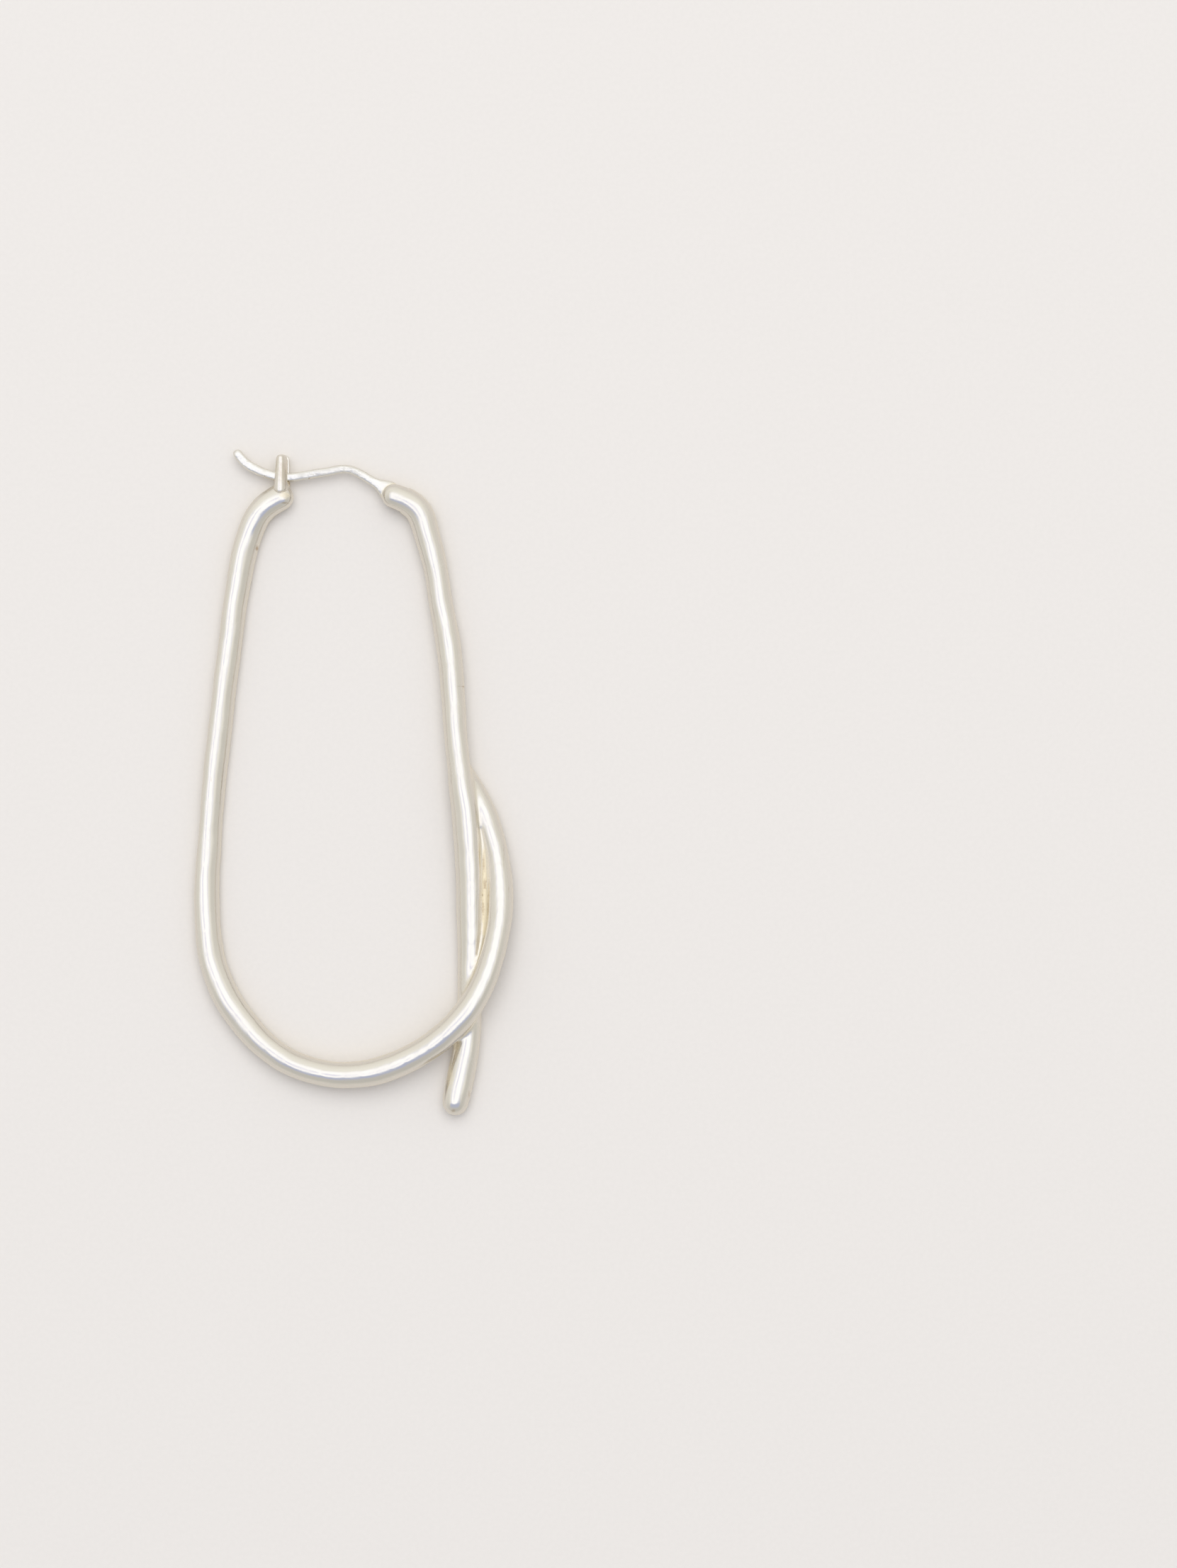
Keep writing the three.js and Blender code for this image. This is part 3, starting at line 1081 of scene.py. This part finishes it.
@dataclass(frozen=True)
class CatchShape:
    """The forked catch that is soldered on the left end of the wire, in millimetres."""

    prong_thickness: float = 0.7
    prong_reach: float = 2.55
    clearance: float = 0.13
    seat_gap: float = 0.1
    seat_row: int = 10
    seat: float = 0.36
    base_width: float = 1.40
    waist_width: float = 1.26
    waist_share: float = 0.45
    top_width: float = 1.12
    foot_round: float = 0.45
    tip_round: float = 0.9
    full_depth_width: float = 0.9
    offset: float = 0.18
    lean: float = 0.08
    skew: float = 0.30
    squareness: float = 2.3
    spacing: float = 0.06
    cap_steps: int = 10
    around: int = 64
    gap_half: float = 3.0
    gap_reach: float = 5.0
    voxel: float = 0.06
    smoothing: int = 5
    hollow_rounds: int = 4
    hollow_share: float = 0.5

    def floor(self) -> float:
        """Where the lever's seat puts the slot's floor.

        Returns:
            Its height above the middle of the wire's end.
        """
        row = POST_ROWS[self.seat_row]
        hinge_above = (KNUCKLE.up - LOOP_ROWS[0].up) * SIZES.height
        return hinge_above + row.rise * SIZES.post_arch - row.width * SIZES.post_width / 2 - self.seat_gap

    def samples(self, end: Vector) -> np.ndarray:
        """Places and half widths up the middle of the fork.

        Args:
            end: the middle of the wire's end.

        Returns:
            Rows of x, y, z, half width, oval and lean.
        """
        foot = self.seat + self.foot_round * self.base_width / 2
        tip = self.floor() + self.prong_reach - self.tip_round * self.top_width / 2
        widths = ((0.0, self.base_width), (self.waist_share, self.waist_width), (1.0, self.top_width))
        knots = []
        for share, width in widths:
            across = end.x + self.offset + self.lean * share
            knots.append([across, end.y + foot + (tip - foot) * share, end.z, width / 2, 1.0, 0.0])
        samples = spline_through(np.array(knots), self.spacing)
        return with_round_ends(samples, self.cap_steps, self.foot_round, self.tip_round)

    def build(self, end: Vector, rods: RodMaker, material: Material) -> Mesh:
        """Makes the fork as one domed tongue with a slot through its middle.

        Args:
            end: the middle of the wire's end.
            rods: what draws the tongue.
            material: the hoop's finish.

        Returns:
            The closed mesh.
        """
        slot = SIZES.post_thickness + 2 * self.clearance
        depth = slot + 2 * self.prong_thickness
        block = rods.draw(self.samples(end), "catch", {
            "Around": self.around, "Squareness": self.squareness, "Level": end.z, "Thickness": depth,
            "Least Width": self.full_depth_width, "Material": material,
        })
        shear = Matrix.Identity(4)
        shear[0][2] = -self.skew / depth
        shear[0][3] = self.skew / depth * end.z
        block.transform(shear)
        left, right = end.x - self.gap_half, end.x + self.gap_half
        floor = end.y + self.floor()
        roof = floor + self.gap_reach
        corners = [Vector(corner) for corner in ((left, floor), (right, floor), (right, roof), (left, roof))]
        gap = plate(corners, end.z - slot / 2, end.z + slot / 2, "catch_gap")
        skin = fused(combined(block, [gap], Combine.CUT), self.voxel, "catch_skin")
        return relaxed(skin, self.smoothing, self.hollow_rounds, self.hollow_share)


@dataclass
class Hoop:
    """The wire with its crossing, web, catch and knuckle, as one soldered piece."""

    rods: RodMaker
    spacing: float = 0.25
    cap_steps: int = 12
    heading_steps: int = 2
    around: int = 64
    voxel: float = 0.135
    smoothing: int = 10
    hollow_rounds: int = 10
    cut_half: float = 2.0
    cut_reach: float = 3.0
    bore_length: float = 4.0
    rivet_gap: float = 0.004
    swell: float = 0.035
    dent_depth: float = 0.24
    dent_size: float = 4.0
    ripple_depth: float = 0.08
    ripple_size: float = 2.2
    loop_seed: float = 3.0
    strand_seed: float = 8.0
    catch: CatchShape = field(default_factory=CatchShape)

    def samples(self, rows: tuple[WireRow, ...]) -> np.ndarray:
        """Places and half widths along one stretch of wire.

        Args:
            rows: its sections.

        Returns:
            Rows of x, y, z, half width, oval and lean.
        """
        knots = []
        for row in rows:
            place = seen_from_above(row, (row.under + row.girth / 2) * SIZES.wire)
            knots.append([*place, row.girth * SIZES.wire / 2 + self.swell, row.oval, row.lean])
        return with_round_ends(spline_through(np.array(knots), self.spacing), self.cap_steps)

    def wire(self, rows: tuple[WireRow, ...], name: str, seed: float, material: Material) -> Mesh:
        """Draws one stretch of wire.

        Args:
            rows: its sections.
            name: the mesh's name.
            seed: picks its dents.
            material: its finish.

        Returns:
            The closed mesh.
        """
        return self.rods.draw(self.samples(rows), name, {
            "Around": self.around, "Dent Depth": self.dent_depth, "Dent Size": self.dent_size,
            "Ripple Depth": self.ripple_depth, "Ripple Size": self.ripple_size, "Seed": seed,
            "Material": material,
        })

    def web(self) -> Mesh:
        """The thin web between the straight side and the bulge.

        Returns:
            The closed mesh.
        """
        corners = [seen_from_above(spot, 0.0).to_2d() for spot in WEB_CORNERS]
        low = SIZES.web_height - SIZES.web_thickness / 2
        return plate(corners, low, low + SIZES.web_thickness, "web")

    def saw_cut(self) -> Mesh:
        """The slot across the knuckle, with its floor behind the post's round root.

        Returns:
            The closed mesh to cut away.
        """
        centre = HINGE.to_2d()
        along = Vector(self.samples(STRAND_ROWS)[self.cap_steps + self.heading_steps, :2]) - centre
        along.normalize()
        across = Vector((-along.y, along.x)) * self.cut_half
        floor = centre + along * (SIZES.knuckle / 2 - SIZES.blade_inset + SIZES.slot_clearance)
        mouth = centre - along * self.cut_reach
        half = SIZES.post_thickness / 2 + SIZES.slot_clearance
        corners = [floor - across, floor + across, mouth + across, mouth - across]
        return plate(corners, HINGE.z - half, HINGE.z + half, "saw_cut")

    def build(self, material: Material, rivet_material: Material) -> tuple[Object, Object]:
        """Makes the soldered hoop, and the rivet that is filed flush with its knuckle.

        Args:
            material: the hoop's finish.
            rivet_material: the rivet's finish.

        Returns:
            The hoop and the rivet.
        """
        shells = joined([
            self.wire(LOOP_ROWS, "loop", self.loop_seed, material),
            self.wire(STRAND_ROWS, "strand", self.strand_seed, material),
            self.web(),
        ], "shells")
        skin = relaxed(fused(shells, self.voxel, "hoop_silver"), self.smoothing, self.hollow_rounds)
        loop_end = seen_from_above(LOOP_ROWS[0], SIZES.knuckle / 2)
        skin = combined(skin, [self.catch.build(loop_end, self.rods, material)], Combine.WELD)
        core = round_bar(HINGE, SIZES.pin / 2, self.bore_length, self.around, "rivet_core")
        rivet = combined(core, [skin.copy()], Combine.SHARE)
        bore = round_bar(HINGE, SIZES.pin / 2 + self.rivet_gap, self.bore_length, self.around, "rivet_bore")
        skin = combined(skin, [self.saw_cut(), bore], Combine.CUT)
        hoop = dressed(skin, "soldered_hoop", material)
        return hoop, dressed(rivet, "hinge_rivet", rivet_material)


@dataclass
class Post:
    """The flat lever that goes through the ear."""

    rods: RodMaker
    spacing: float = 0.08
    cap_steps: int = 8
    around: int = 48
    root_around: int = 96
    bore_around: int = 64
    bore_length: float = 4.0
    squareness: float = 3.2
    swell: float = 0.02
    voxel: float = 0.05
    smoothing: int = 5
    hollow_rounds: int = 6
    hollow_share: float = 0.3
    hammer_depth: float = 0.14
    hammer_size: float = 0.8
    nick_depth: float = 0.05
    nick_size: float = 0.35
    seed: float = 5.0

    def samples(self) -> np.ndarray:
        """Places and half widths along the post.

        Returns:
            Rows of x, y, z, half width, oval and lean.
        """
        span = (KNUCKLE.across - LOOP_ROWS[0].across) * SIZES.width
        knots = [[HINGE.x - row.along * span, HINGE.y + row.rise * SIZES.post_arch, HINGE.z,
                  row.width * SIZES.post_width / 2 + self.swell, 1.0, 0.0] for row in POST_ROWS]
        return with_round_ends(spline_through(np.array(knots), self.spacing), self.cap_steps)

    def build(self, material: Material) -> Object:
        """Makes the post with its round root and bore.

        Args:
            material: its finish.

        Returns:
            The finished piece.
        """
        strip = self.rods.draw(self.samples()[self.cap_steps:], "strip", {
            "Around": self.around, "Squareness": self.squareness, "Level": HINGE.z,
            "Thickness": SIZES.post_thickness, "Least Width": SIZES.post_thickness,
            "Dent Depth": self.hammer_depth, "Dent Size": self.hammer_size,
            "Ripple Depth": self.nick_depth, "Ripple Size": self.nick_size, "Seed": self.seed,
            "Material": material,
        })
        radius = SIZES.knuckle / 2 - SIZES.blade_inset
        root = round_bar(HINGE, radius, SIZES.post_thickness, self.root_around, "root")
        skin = fused(joined([strip, root], "post_shells"), self.voxel, "post_silver")
        skin = relaxed(skin, self.smoothing, self.hollow_rounds, self.hollow_share)
        radius = SIZES.pin / 2 + SIZES.pin_clearance
        bore = round_bar(HINGE, radius, self.bore_length, self.bore_around, "post_bore")
        return dressed(combined(skin, [bore], Combine.CUT), "ear_post_lever", material)


def relaxed(skin: Mesh, smoothing: int, hollow_rounds: int, hollow_share: float = 1.0) -> Mesh:
    """Smooths a fused skin, lays it on the table and marks its hollows.

    Args:
        skin: the skin, which is changed.
        smoothing: rounds of smoothing.
        hollow_rounds: how often the hollows are spread.
        hollow_share: how deep a hollow may count.

    Returns:
        The same skin.
    """
    sculpt = Sculpt(skin)
    sculpt.smooth(smoothing)
    sculpt.settle()
    sculpt.mark("hollow", sculpt.hollowness(hollow_rounds) * hollow_share)
    sculpt.store()
    return skin


def dressed(mesh: Mesh, name: str, material: Material) -> Object:
    """Turns a mesh in millimetres into a finished piece in metres.

    Args:
        mesh: the mesh.
        name: the piece's name.
        material: its finish.

    Returns:
        The piece.
    """
    mesh.transform(Matrix.Scale(MILLIMETRE, 4))
    mesh.materials.clear()
    mesh.materials.append(material)
    mesh.polygons.foreach_set("use_smooth", [True] * len(mesh.polygons))
    mesh.set_sharp_from_angle(angle=SHARP_ANGLE)
    mesh.name = name
    mesh.update()
    return mesh_object(name, mesh)


@dataclass(frozen=True)
class Window:
    """A bright opening in the tent overhead, in tangents of the angle from straight up."""

    low: Pair
    high: Pair
    soft_low: Pair
    soft_high: Pair
    colour: Colour


@dataclass(frozen=True)
class Studio:
    """A pale light tent over a pale table, seen from straight above."""

    tent_near: Colour = (0.66, 0.655, 0.64, 1.0)
    tent_far: Colour = (1.01, 0.995, 0.95, 1.0)
    tent_low: Colour = (0.86, 0.84, 0.80, 1.0)
    backdrop: Colour = (0.84, 0.82, 0.80, 1.0)
    far_edge: Pair = (-0.9, 0.9)
    low_edge: Pair = (-0.05, 0.35)
    least_rise: float = 0.02
    tent_slope: float = -0.05
    tent_share: float = 0.70
    windows: tuple[Window, ...] = (
        Window((-1.00, -0.42), (1.10, 1.60), (0.35, 0.20), (0.35, 0.80), (1.10, 1.10, 1.06, 1.0)),
        Window((-0.66, -0.60), (0.66, 0.45), (0.06, 0.10), (0.10, 0.20), (1.02, 1.05, 1.23, 1.0)),
        Window((-0.75, -0.80), (0.85, -0.36), (0.15, 0.24), (0.15, 0.04), (0.55, 0.61, 0.84, 1.0)),
        Window((-0.48, -0.36), (0.50, 0.48), (0.07, 0.04), (0.14, 0.24), (1.45, 1.47, 1.54, 1.0)),
        Window((-0.20, -0.14), (-0.06, 0.10), (0.04, 0.04), (0.04, 0.04), (0.90, 0.92, 1.20, 1.0)),
    )
    table_half: float = 2.5
    camera_height: float = 430.0
    camera_sensor: float = 24.0
    camera_clip: float = 0.01
    lamp_height: float = 900.0
    lamp_back: float = 330.0
    lamp_size: float = 900.0
    lamp_power: float = 4.0

    def window_mask(self, make: TreeMaker, view: tuple[NodeSocket, ...], window: Window) -> NodeSocket:
        """Where a direction looks through a window.

        Args:
            make: the maker for the world's tree.
            view: the direction's tangents across and along the table.
            window: the window.

        Returns:
            Its mask.
        """
        mask = 1.0
        edges = zip(view, window.low, window.high, window.soft_low, window.soft_high)
        for value, low, high, soft_low, soft_high in edges:
            mask = make.times(mask, make.ramp(value, low - soft_low, low + soft_low))
            mask = make.times(mask, make.ramp(value, high - soft_high, high + soft_high, 1.0, 0.0))
        return mask

    def build_tent(self) -> None:
        """Lights the scene with the tent and its windows."""
        world = bpy.data.worlds.new("light_tent")
        make = emptied(world)
        direction = make.add("ShaderNodeTexCoord").outputs["Generated"]
        across, along, rise = make.add("ShaderNodeSeparateXYZ", {0: direction}).outputs
        above = make.math("MAXIMUM", rise, self.least_rise)
        view = (make.math("DIVIDE", across, above), make.math("DIVIDE", along, above))
        light = make.blend(make.ramp(along, *self.far_edge), self.tent_near, self.tent_far)
        light = make.blend(make.ramp(rise, *self.low_edge, 1.0, 0.0), light, self.tent_low)
        light = make.scaled(light, make.math("ADD", make.times(across, self.tent_slope), 1.0))
        for window in self.windows:
            light = make.blend(self.window_mask(make, view, window), light, window.colour)
        ray = make.add("ShaderNodeLightPath").outputs
        light = make.scaled(light, make.ramp(ray["Is Diffuse Ray"], 0.0, 1.0, 1.0, self.tent_share))
        light = make.blend(ray["Is Camera Ray"], light, self.backdrop)
        background = make.out("ShaderNodeBackground", {"Color": light, "Strength": 1.0})
        make.add("ShaderNodeOutputWorld", {"Surface": background})
        bpy.context.scene.world = world

    def build_lamp(self) -> None:
        """Hangs a broad soft lamp over the table, which the silver doesn't mirror."""
        data = bpy.data.lights.new("soft_lamp", "AREA")
        data.shape = "DISK"
        data.size = self.lamp_size * MILLIMETRE
        data.energy = self.lamp_power
        lamp = bpy.data.objects.new("soft_lamp", data)
        lamp.location = Vector((0.0, self.lamp_back, self.lamp_height)) * MILLIMETRE
        lamp.rotation_euler = (-math.atan2(self.lamp_back, self.lamp_height), 0.0, 0.0)
        lamp.visible_glossy = False
        lamp.visible_camera = False
        bpy.context.scene.collection.objects.link(lamp)

    def build_table(self) -> None:
        """Lays the table under the earring."""
        work = bmesh.new()
        bmesh.ops.create_grid(work, x_segments=1, y_segments=1, size=self.table_half)
        mesh = as_mesh(work, "table_top")
        mesh.materials.append(TableFinish().build())
        mesh_object("table_top", mesh)

    def build_camera(self) -> None:
        """Hangs the camera straight over the middle of the photograph."""
        data = bpy.data.cameras.new("overhead")
        data.sensor_fit = "VERTICAL"
        data.sensor_height = self.camera_sensor
        data.lens = self.camera_sensor * (self.camera_height - HINGE.z) / (PHOTO_HEIGHT * PHOTO_PIXEL)
        data.clip_start = self.camera_clip
        camera = bpy.data.objects.new("overhead", data)
        x = HINGE.x + (PHOTO_WIDTH / 2 - HINGE_PIXEL[0]) * PHOTO_PIXEL
        y = HINGE.y - (PHOTO_HEIGHT / 2 - HINGE_PIXEL[1]) * PHOTO_PIXEL
        camera.location = Vector((x, y, self.camera_height)) * MILLIMETRE
        bpy.context.scene.collection.objects.link(camera)
        bpy.context.scene.camera = camera

    def build(self) -> None:
        """Builds the camera, the tent, the lamp and the table, and sets plain tones."""
        self.build_camera()
        self.build_tent()
        self.build_lamp()
        self.build_table()
        bpy.context.scene.view_settings.view_transform = "Standard"
        bpy.context.scene.view_settings.look = "None"


# Real tarnish and crust, with painted light and shade among them
HOOP_STAINS_AND_PAINTED_LIGHT = (
    # Web
    StainOrPaintedLight((11.86, -10.2, 1.9), (0.38, 6.0, 0.6), 0.5, 1.2, 1.0, 0.5),
    # Catch's foot with its crust, the ledge under it, whose cream is partly a painted reflection, and
    # painted shade that dulls its prongs
    StainOrPaintedLight((-5.6, 27.2, 1.2), (0.7, 0.5, 1.0), 0.6, 3.0, 0.8),
    StainOrPaintedLight((-6.05, 25.95, 2.3), (0.75, 0.40, 0.8), 0.9, 4.0, 0.5, 0.5),
    StainOrPaintedLight((-6.35, 28.0, 2.4), (0.8, 2.0, 0.9), 0.9, 2.0, 0.15, 0.7),
    # Painted light on the left flank of the tail: a lighter, warm, partly matte tone where it would mirror
    # the shade under the crossing
    StainOrPaintedLight((9.40, -23.8, 1.2), (0.60, 1.9, 1.4), 0.4, 1.5, 0.72, 0.8),
    StainOrPaintedLight((8.75, -26.3, 1.2), (0.60, 2.1, 1.4), 0.4, 1.5, 0.72, 0.8),
)
# Dark marks: real specks, seams and cracks, with painted shade and a painted dark reflection among them
HOOP_MARKS = (
    # Specks on the web
    StainOrPaintedLight((11.9, -9.1, 1.9), (0.22, 0.80, 0.6), 1.6, 5.0, 0.55, 0.9),
    StainOrPaintedLight((11.75, -11.3, 1.9), (0.20, 0.90, 0.6), 1.6, 5.0, 0.45, 0.9),
    StainOrPaintedLight((11.8, -7.3, 1.9), (0.16, 1.2, 0.6), 1.6, 5.0, 0.45, 0.9),
    # Seams along the bulge
    StainOrPaintedLight((13.60, -6.9, 1.3), (0.13, 1.8, 1.8), 0.9, 3.0, 0.3, 0.9),
    StainOrPaintedLight((14.05, -10.0, 1.3), (0.09, 2.2, 1.8), 0.9, 3.0, 0.35, 0.9),
    # Tip of the tail: a painted dark reflection on its end, and a dark line along the facet on its right
    StainOrPaintedLight((9.05, -29.55, 1.7), (0.36, 0.24, 0.9), 0.9, 4.0, 0.4, 0.9),
    StainOrPaintedLight((10.45, -28.1, 1.3), (0.13, 0.50, 1.0), 0.9, 4.0, 0.35, 0.9),
    # Speck in the catch's slot
    StainOrPaintedLight((-5.74, 27.13, 1.2), (0.15, 0.32, 1.2), 0.9, 5.0, 0.85, 0.7),
    # Plain brown spot on the left wire
    StainOrPaintedLight((-8.69, 21.17, 1.3), (0.20, 0.38, 0.9), 1.2, 5.0, 0.7, 0.9),
    # Crack and dot across the straight side
    StainOrPaintedLight((9.75, 8.70, 1.8), (0.80, 0.05, 1.3), 0.8, 3.0, 0.3, 0.9),
    StainOrPaintedLight((9.95, 8.68, 1.8), (0.10, 0.09, 1.3), 0.6, 5.0, 0.8, 0.8),
    # Nick in the left wire, tick on the knuckle
    StainOrPaintedLight((-12.79, 0.30, 1.2), (0.07, 0.45, 1.3), 0.9, 4.0, 0.4, 0.9),
    StainOrPaintedLight((4.24, 25.28, 1.2), (0.14, 0.07, 1.3), 0.6, 5.0, 0.7, 0.8),
    # Painted shade: a dark streak under the ledge, and shade on the prongs
    StainOrPaintedLight((-6.15, 25.25, 2.0), (0.45, 0.15, 0.8), 0.9, 4.0, 0.4, 0.9),
    StainOrPaintedLight((-6.20, 28.0, 2.4), (0.7, 2.2, 0.9), 1.4, 2.5, 0.22, 0.9),
)
ROOT_STAIN = StainOrPaintedLight(tuple(HINGE), (1.36, 1.36, 1.36), 0.12, 2.0, 0.8)
HOOP_FINISH = SilverFinish("hoop_silver", stains_and_painted_light=HOOP_STAINS_AND_PAINTED_LIGHT, marks=HOOP_MARKS)
POST_FINISH = SilverFinish("post_silver", tint=(0.76, 0.735, 0.68, 1.0), roughness=0.25, bump=0.045,
                           wave_size=0.35, scratch_stretch=(0.2, 1.0, 1.0), pit_share=0.05, painted_rim_matte=0.1,
                           stains_and_painted_light=(ROOT_STAIN,))
PIN_FINISH = SilverFinish("pin_silver")


def place_piece(piece: Object, body: Body, node: str) -> None:
    """Ties a piece to the frame.

    Args:
        piece: the finished piece.
        body: the body that it rides on.
        node: the node that it stands for.
    """
    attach(piece, body.value)
    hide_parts(node)
    piece.data.calc_loop_triangles()
    log.info("%s rides on %s with %d triangles", piece.name, body.value, len(piece.data.loop_triangles))


def main() -> None:
    """Builds the studio and the earring's pieces."""
    logging.basicConfig(level=logging.INFO, format="%(message)s")
    Studio().build()
    grain = Grain(scratch_group(), patch_group(), polish_group())
    rods = RodMaker()
    hoop, rivet = Hoop(rods).build(HOOP_FINISH.build(grain), PIN_FINISH.build(grain))
    place_piece(hoop, Body.HOOP, "hoop")
    place_piece(rivet, Body.HOOP, "hinge_pin")
    place_piece(Post(rods).build(POST_FINISH.build(grain)), Body.POST, "ear_post")


if __name__ == "__main__":
    main()
